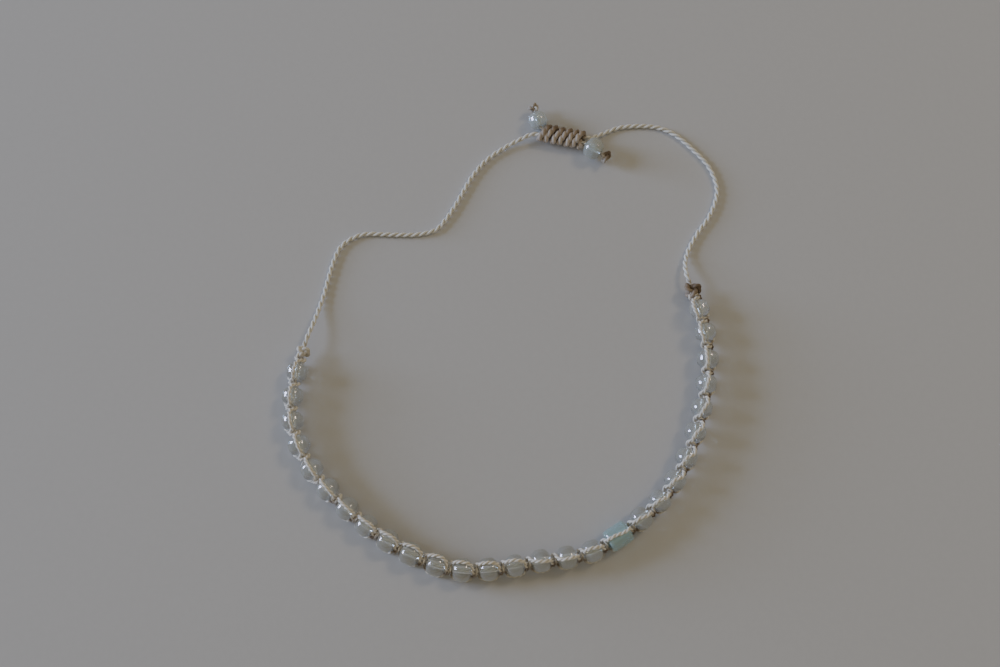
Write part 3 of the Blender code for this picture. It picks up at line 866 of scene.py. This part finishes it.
@dataclass
class KnottedString:
    """The core thread, and the strands that cross each bead and are tied between the beads."""

    core: Yarn = Yarn(ply_radius=0.16 * MM, off_axis=0.14 * MM, lay=2.0 * MM)
    strand: Yarn = Yarn(ply_radius=0.185 * MM, off_axis=0.145 * MM, lay=1.9 * MM, step=0.14 * MM)
    lower: Yarn = Yarn(ply_radius=0.14 * MM, off_axis=0.115 * MM, lay=1.8 * MM, step=0.14 * MM)
    crest: float = 2.0 * MM + 0.31 * MM
    bead_drop: float = 0.34 * MM
    tube_drop: float = 0.06 * MM
    under_angle: float = math.radians(134)
    hidden: float = 0.3 * MM
    core_reach: float = 0.9 * MM
    core_step: float = 0.3 * MM
    # Degrees round the string where the knots are brownest, painted shade on their underside included
    brown_side: float = 108.0
    # The last knot of each part of the string, and how much paler its knots are
    fresh_parts: tuple[tuple[int, float], ...] = ((5, 0.85), (17, 0.15), (BEAD_COUNT, 0.0))
    # Bead number, the upper strand's lean and how far it swings about that between beads, in degrees
    lay_table: Table = (
        (1, 4, 0), (7, 0, 0), (10, -30, 0), (11, -35, 0), (12, -29, 0), (13, -23, 0), (14, -18, 0), (15, 8, 0),
        (16, 10, 0), (17, -8, 6), (18, -2, 4), (22, 8, 16), (24, 10, 8), (26, -12, 0), (27, -31, 0), (28, -35, 0),
    )
    # Each strand's way round the core at a knot: millimetres along and from the line, and degrees round it
    over_turn: Table = (
        (-0.58, 1.40, 0.0), (-0.42, 0.86, 38.0), (-0.34, 0.64, 90.0), (-0.30, 0.60, 145.0), (-0.28, 0.60, 200.0),
        (-0.20, 0.70, 248.0), (0.04, 0.82, 286.0), (0.26, 1.02, 320.0), (0.54, 1.42, 352.0),
    )
    under_turn: Table = (
        (-0.56, 1.42, 0.0), (-0.24, 1.12, -22.0), (0.12, 0.80, -55.0), (0.27, 0.62, -105.0), (0.31, 0.60, -160.0),
        (0.33, 0.60, -215.0), (0.35, 0.62, -270.0), (0.43, 0.84, -325.0), (0.60, 1.40, -358.0),
    )

    def lean(self, line: StringLine, distance: float) -> float:
        """The upper strand's angle from straight up.

        Args:
            line: the bead string's line.
            distance: how far along it.

        Returns:
            The angle in radians, towards the outside of the loop.
        """
        numbers, leans, swings = (np.array(column, dtype=float) for column in zip(*self.lay_table))
        bead = float(np.interp(distance, line.beads, np.arange(1, BEAD_COUNT + 1)))
        swing = np.interp(bead, numbers, swings) * math.sin(2 * math.pi * bead)
        return math.radians(float(np.interp(bead, numbers, leans) + swing))

    def strand_line(self, line: StringLine, over: bool) -> tuple[np.ndarray, np.ndarray]:
        """The whole way of one strand, over or under every bead and once round the core at every knot.

        Args:
            line: the bead string's line.
            over: the upper strand, else the lower one.

        Returns:
            The points of the smoothed way, and how brown the strand is at each of them.
        """
        table = self.over_turn if over else self.under_turn
        points, stains = [line.route.at(self.hidden)], [0.0]
        for index, knot in enumerate(line.knots):
            first, last = (1 if index == 0 else 0), (-1 if index == BEAD_COUNT else None)
            for offset, radius, turn in table[first:last]:
                distance = knot + offset * MM
                base = self.lean(line, distance) if over else self.under_angle
                angle = base + math.radians(turn)
                points.append(line.point(distance, radius * MM, angle))
                stains.append(self.knot_stain_and_shade(index, math.degrees(angle) % 360))
            if index < BEAD_COUNT:
                crossing = self.crossing(line, index + 1, over)
                points += crossing
                stains += [0.0] * len(crossing)
        points.append(line.route.at(line.route.length - self.hidden))
        stains.append(0.0)
        way = smoothed(np.array(points))
        shade = np.interp(np.arange(len(way)) / SMOOTHING, np.arange(len(points)), stains)
        return way, shade

    def knot_stain_and_shade(self, index: int, angle: float) -> float:
        """How brown a knot's strand is, partly real staining and partly painted shade: most on the outer side, a
        little below level, and least in the left column's fresh knots.

        Args:
            index: the knot's number from the left end.
            angle: degrees round the string.

        Returns:
            How brown and how shaded it is, from 0 to 0.8.
        """
        # Real browning with painted shade: darkest on the outer side, a little below level.
        outer = (math.cos(math.radians(angle - self.brown_side)) - 0.15) / 0.85
        fresh = next(paler for last, paler in self.fresh_parts if index <= last)
        return max(0.0, 0.80 * outer - fresh)

    def crossing(self, line: StringLine, number: int, over: bool) -> list[np.ndarray]:
        """A strand's way over or under one bead.

        Args:
            line: the bead string's line.
            number: the bead's number.
            over: the upper strand, else the lower one.

        Returns:
            Its points in order.
        """
        half = line.half_length(number)
        shoulder = self.crest - (self.tube_drop if number == TUBE_BEAD else self.bead_drop)
        points = []
        for share, radius in ((-0.80, shoulder), (-0.35, self.crest), (0.35, self.crest), (0.80, shoulder)):
            distance = line.beads[number - 1] + share * half
            angle = self.lean(line, distance) if over else self.under_angle
            points.append(line.point(distance, radius, angle))
        return points

    def build(self, line: StringLine, material: Material) -> None:
        """Makes the core and both strands in place of the one solid.

        Args:
            line: the bead string's line.
            material: the strands' finish.
        """
        distances = np.arange(line.knots[0] - self.core_reach, line.knots[-1] + self.core_reach, self.core_step)
        core = self.core.lay_along("core_thread", line.route.at(distances))
        upper = self.strand.lay_along("upper_strand", *self.strand_line(line, over=True))
        lower = self.lower.lay_along("lower_strand", *self.strand_line(line, over=False))
        for piece in (core, upper, lower):
            mount(piece, piece.name, material, "knotted_cord")


@dataclass(frozen=True)
class Overhand:
    """An overhand knot drawn tight: three lobes round a middle, browner towards one side."""

    across: float
    thickness: float
    yarn: Yarn
    squash: float
    roll: float
    brown_side: float
    stain_and_shade: float
    rise: float = 0.52
    points: int = 160

    def model(self, name: str, place: np.ndarray, heading: np.ndarray) -> Object:
        """Ties the knot.

        Args:
            name: the new object's name.
            place: the knot's middle.
            heading: the cord's direction through it.

        Returns:
            The knot, as one closed strand.
        """
        t = np.linspace(0.0, 2 * math.pi, self.points, endpoint=False)
        flat = np.stack((np.sin(t) + 2 * np.sin(2 * t), np.cos(t) - 2 * np.cos(2 * t)), axis=1)
        high = -np.sin(3 * t)
        scale = (self.across / 2 - self.thickness / 2) / 3.0
        cos, sin = math.cos(self.roll), math.sin(self.roll)
        x = (cos * flat[:, 0] - sin * flat[:, 1]) * scale * self.squash
        y = (sin * flat[:, 0] + cos * flat[:, 1]) * scale
        z = high * self.thickness * self.rise
        along = unit(heading)
        sideways = unit(np.cross(UP, along))
        up = np.cross(along, sideways)
        points = place + x[:, None] * along + y[:, None] * sideways + z[:, None] * up
        shade = self.stain_and_shade * (0.75 + 0.25 * np.cos(np.arctan2(y, x) - self.brown_side))
        return self.yarn.lay_along(name, np.vstack((points, points[:1])), np.append(shade, shade[0]))


@dataclass
class EndKnots:
    """The larger knot at each end of the bead string."""

    yarn: Yarn = Yarn(ply_radius=0.34 * MM, off_axis=0.17 * MM, lay=2.7 * MM, step=0.12 * MM)
    tuck: float = 0.35 * MM
    left: Overhand = Overhand(2.7 * MM, 0.84 * MM, yarn, squash=0.9, roll=1.2, brown_side=0.9, stain_and_shade=0.24)
    right: Overhand = Overhand(3.7 * MM, 1.05 * MM, yarn, squash=0.9, roll=2.0, brown_side=-1.2, stain_and_shade=0.86)

    def build(self, line: StringLine, cream: Material, stained: Material) -> None:
        """Ties both knots over their solids.

        Args:
            line: the bead string's line.
            cream: the finish of the paler left knot.
            stained: the finish of the browned right knot.
        """
        for side, knot, material in ((Side.LEFT, self.left, cream), (Side.RIGHT, self.right, stained)):
            name = "end_knot_" + side.value
            start, inwards = (0.0, 1) if side is Side.LEFT else (line.route.length, -1)
            heading = line.route.heading(start)
            piece = knot.model("tied_" + name, middle(name) + inwards * self.tuck * heading, heading)
            mount(piece, "tied_" + name, material, name)


STOPPER_YARN = Yarn(ply_radius=0.24 * MM, off_axis=0.13 * MM, lay=2.1 * MM, step=0.1 * MM)


@dataclass(frozen=True)
class FreeEnd:
    """A free end: the sliding knot's end and lane that it leaves by, its bead's half length and its stopper."""

    side: Side
    end: int
    lane: int
    bead_half: float
    stopper: Overhand


LEFT_END = FreeEnd(
    Side.LEFT, end=-1, lane=1, bead_half=1.45 * MM,
    stopper=Overhand(2.35 * MM, 0.74 * MM, STOPPER_YARN, squash=0.95, roll=0.6, brown_side=1.2, stain_and_shade=0.55),
)
RIGHT_END = FreeEnd(
    Side.RIGHT, end=1, lane=-1, bead_half=1.6 * MM,
    stopper=Overhand(2.75 * MM, 0.74 * MM, STOPPER_YARN, squash=0.66, roll=0.6, brown_side=1.2, stain_and_shade=0.85),
)


@dataclass
class Closure:
    """The sliding knot, and the free ends with their stopper knots."""

    turn: float = -12.0
    wraps: int = 6
    points_per_turn: int = 16
    pitch: float = 1.30 * MM
    half_width: float = 1.30 * MM
    half_height: float = 0.92 * MM
    shear: float = 0.34
    low_bump: float = 0.18 * MM
    # Painted shade on the far side of the wraps
    far_side_shade: float = 0.80
    left_stain: float = 0.25
    uneven_stain: float = 0.6
    tucked: float = 0.55
    jitter: float = 0.05 * MM
    seed: int = 4
    lane_gap: float = 0.575 * MM
    mouth: float = 3.9 * MM
    mouth_run: float = 0.3 * MM
    stopper_gap: float = 1.10 * MM
    uneven: tuple[float, ...] = (0.10, -0.10, 0.08, -0.02, 0.10, -0.08, 0.04)
    wrap_yarn: Yarn = Yarn(ply_radius=0.385 * MM, off_axis=0.19 * MM, lay=2.1 * MM, step=0.13 * MM)
    tail_yarn: Yarn = Yarn(ply_radius=0.16 * MM, off_axis=0.14 * MM, lay=2.0 * MM)

    def frame(self) -> tuple[np.ndarray, np.ndarray, np.ndarray]:
        """The sliding knot's middle and its directions along and sideways."""
        along = level(self.turn)
        return middle("sliding_knot"), along, np.array((-along[1], along[0], 0.0))

    def sliding_knot(self, material: Material) -> None:
        """Winds the wraps round both cords, slanted, with a bump at each wrap's lower edge.

        Args:
            material: the stained cord.
        """
        centre, along, sideways = self.frame()
        chance = np.random.default_rng(self.seed)
        points, stains = [], []
        for i in range(self.wraps * self.points_per_turn + 1):
            turn = i / self.points_per_turn
            angle = 2 * math.pi * turn
            uneven = float(np.interp(turn, range(len(self.uneven)), self.uneven))
            y = -self.half_width * (1.0 + 0.5 * uneven) * math.cos(angle)
            z = self.half_height * math.sin(angle)
            x = (turn - self.wraps / 2 + uneven) * self.pitch + self.shear * (1.0 + uneven) * y
            low_edge = max(0.0, math.cos(angle)) ** 6
            y_place = y - self.low_bump * low_edge + chance.normal(0.0, self.jitter)
            points.append(centre + (x + chance.normal(0.0, self.jitter)) * along + y_place * sideways + z * UP)
            # Painted shade: the far side of each wrap is browner and darker.
            high = self.far_side_shade * max(0.0, 0.5 + 0.5 * y / self.half_width) ** 1.5
            left = self.left_stain * (0.5 - turn / self.wraps)
            stains.append(max(0.0, high + left + self.uneven_stain * uneven))
        inward = (self.wraps / 2 - self.tucked) * self.pitch * along
        points = [centre - inward, *points, centre + inward]
        # Painted shade: the tucked ends within the knot are darkened.
        stains = [0.5, *stains, 0.5]
        line = smoothed(np.array(points))
        shade = np.interp(np.arange(len(line)) / SMOOTHING, np.arange(len(points)), stains)
        piece = self.wrap_yarn.lay_along("wrapped_knot", line, shade)
        mount(piece, "wrapped_knot", material, "sliding_knot")

    def tails(self, material: Material) -> None:
        """Runs each free end's cord through its bead to its stopper knot.

        Args:
            material: the cord's finish.
        """
        centre, along, sideways = self.frame()
        for free in (LEFT_END, RIGHT_END):
            bead = middle("tail_bead_" + free.side.value)
            heading = level(TAIL_TURNS[free.side])
            lane = free.lane * self.lane_gap * (sideways + self.shear * along)
            mouth = centre + free.end * self.mouth * along + lane
            inner = mouth - free.end * self.mouth_run * along
            stop = bead + (free.bead_half + self.stopper_gap) * heading
            line = smoothed(np.array((inner, mouth, bead - free.bead_half * heading, bead, stop)))
            brown = free.stopper.stain_and_shade
            # The free end is darker where it leaves the sliding knot and browned at its stopper.
            shade = np.interp(np.linspace(0.0, 1.0, len(line)), (0.0, 0.2, 0.85, 1.0), (0.8 * brown, 0.1, 0.0, brown))
            cord = self.tail_yarn.lay_along("tail", line, shade)
            name = "tail_knot_" + free.side.value
            piece = joined([cord, free.stopper.model("stopper", stop, heading)])
            mount(piece, "tied_" + name, material, name)

    def build(self, stained: Material, cream: Material) -> None:
        """Makes the sliding knot and both free ends.

        Args:
            stained: the finish of the wraps.
            cream: the finish of the free ends, stained at their stopper knots and darker where they leave the sliding
                knot.
        """
        self.sliding_knot(stained)
        self.tails(cream)


# ---- studio


@dataclass(frozen=True)
class Lamp:
    """A soft rectangular light that faces the bracelet's middle, its size in metres and power in watts."""

    name: str
    place: tuple[float, float, float]
    size: tuple[float, float]
    power: float
    colour: Colour

    def hang(self) -> None:
        """Adds the light."""
        bpy.ops.object.light_add(type="AREA", location=self.place)
        lamp = bpy.context.object
        lamp.name = self.name
        lamp.rotation_euler = (-Vector(self.place)).to_track_quat("-Z", "Y").to_euler()
        lamp.data.shape = "RECTANGLE"
        lamp.data.size, lamp.data.size_y = self.size
        lamp.data.energy = self.power
        lamp.data.color = self.colour


@dataclass
class Studio:
    """Floor, light and camera: a cool window at the left, a small warm light at the right, an even surround."""

    camera_height: float = 0.193
    camera_place: tuple[float, float] = (-0.000195, -0.055563)
    elevation: float = 74.0
    lens: float = 40.0
    sensor: float = 36.0
    near: float = 0.005
    floor_size: float = 3.0
    floor_weave: float = 900.0
    floor_tone: Colour = (0.585, 0.585, 0.595)
    surround_tone: Colour = (1.0, 0.89, 0.65)
    surround_strength: float = 0.285
    lamps: tuple[Lamp, ...] = (
        Lamp("window_low", (-1.23, 0.25, 0.20), (0.48, 0.26), 7.9, (0.54, 0.68, 1.0)),
        Lamp("window_high", (-1.23, 0.25, 0.52), (0.48, 0.26), 7.9, (0.54, 0.68, 1.0)),
        Lamp("warm_right", (0.72, 0.50, 0.92), (0.24, 0.24), 2.0, (1.0, 0.82, 0.56)),
    )

    def camera(self) -> None:
        """Sets the camera at the photograph's angle above the floor."""
        bpy.ops.object.camera_add(
            location=(*self.camera_place, self.camera_height),
            rotation=(math.radians(90.0 - self.elevation), 0.0, 0.0),
        )
        camera = bpy.context.object
        camera.data.lens = self.lens
        camera.data.sensor_width = self.sensor
        camera.data.clip_start = self.near
        bpy.context.scene.camera = camera

    def floor(self) -> None:
        """Lays the plain pale floor."""
        bpy.ops.mesh.primitive_plane_add(size=self.floor_size)
        floor = bpy.context.object
        shader = Shader("plain_floor")
        soft = tuple(0.96 * value for value in self.floor_tone)
        weave = shader.mix(shader.noise(self.floor_weave), soft, self.floor_tone)
        shader.feed(weave, shader.surface["Base Color"])
        shader.constant(Roughness=0.9, Specular_IOR_Level=0.2)
        floor.name = "floor"
        floor.data.materials.append(shader.material)

    def light(self) -> None:
        """Hangs the lamps and sets the surround."""
        for lamp in self.lamps:
            lamp.hang()
        world = bpy.data.worlds.new("surround")
        world.use_nodes = True
        background = world.node_tree.nodes["Background"]
        background.inputs["Color"].default_value = (*self.surround_tone, 1.0)
        background.inputs["Strength"].default_value = self.surround_strength
        bpy.context.scene.world = world

    def build(self) -> None:
        """Sets up the whole studio."""
        self.camera()
        self.floor()
        self.light()
        LOG.info("studio: camera at %.0f degrees above the floor", self.elevation)


def main() -> None:
    """Builds the studio and every piece in order."""
    logging.basicConfig(level=logging.INFO, format="%(name)s: %(message)s")
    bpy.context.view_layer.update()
    Studio().build()
    fibres = fibre_group()
    waver = lustre_group()
    cream = CordFinish("twisted_cream_cord").make(fibres)
    knotting = CordFinish(
        "knotting_cream_cord", light=(0.96, 0.91, 0.83), dull=(0.85, 0.80, 0.71), painted_groove_shade=(0.34, 0.31, 0.25)
    ).make(fibres)
    stained = CordFinish(
        "stained_knot_cord", light=(0.69, 0.61, 0.53), dull=(0.48, 0.405, 0.335), painted_groove_shade=(0.12, 0.10, 0.078)
    ).make(fibres)
    finishes = {
        Glass.CLEAR: GlassFinish("clear_aqua_glass"),
        Glass.MILKY: GlassFinish(
            "milky_aqua_glass", tint=(0.90, 0.98, 1.0), tint_deep=(0.80, 0.92, 0.96), transmission=0.74
        ),
        Glass.BLUE_GREEN: GlassFinish(
            "blue_green_glass", tint=(0.70, 0.93, 0.96), tint_deep=(0.52, 0.85, 0.91), transmission=0.66
        ),
    }
    glasses = {kind: finish.make(waver) for kind, finish in finishes.items()}
    BareCords().build(cream)
    line = StringLine()
    Beads().build(line, glasses)
    KnottedString().build(line, knotting)
    EndKnots().build(line, cream, stained)
    Closure().build(stained, cream)


if __name__ == "__main__":
    main()
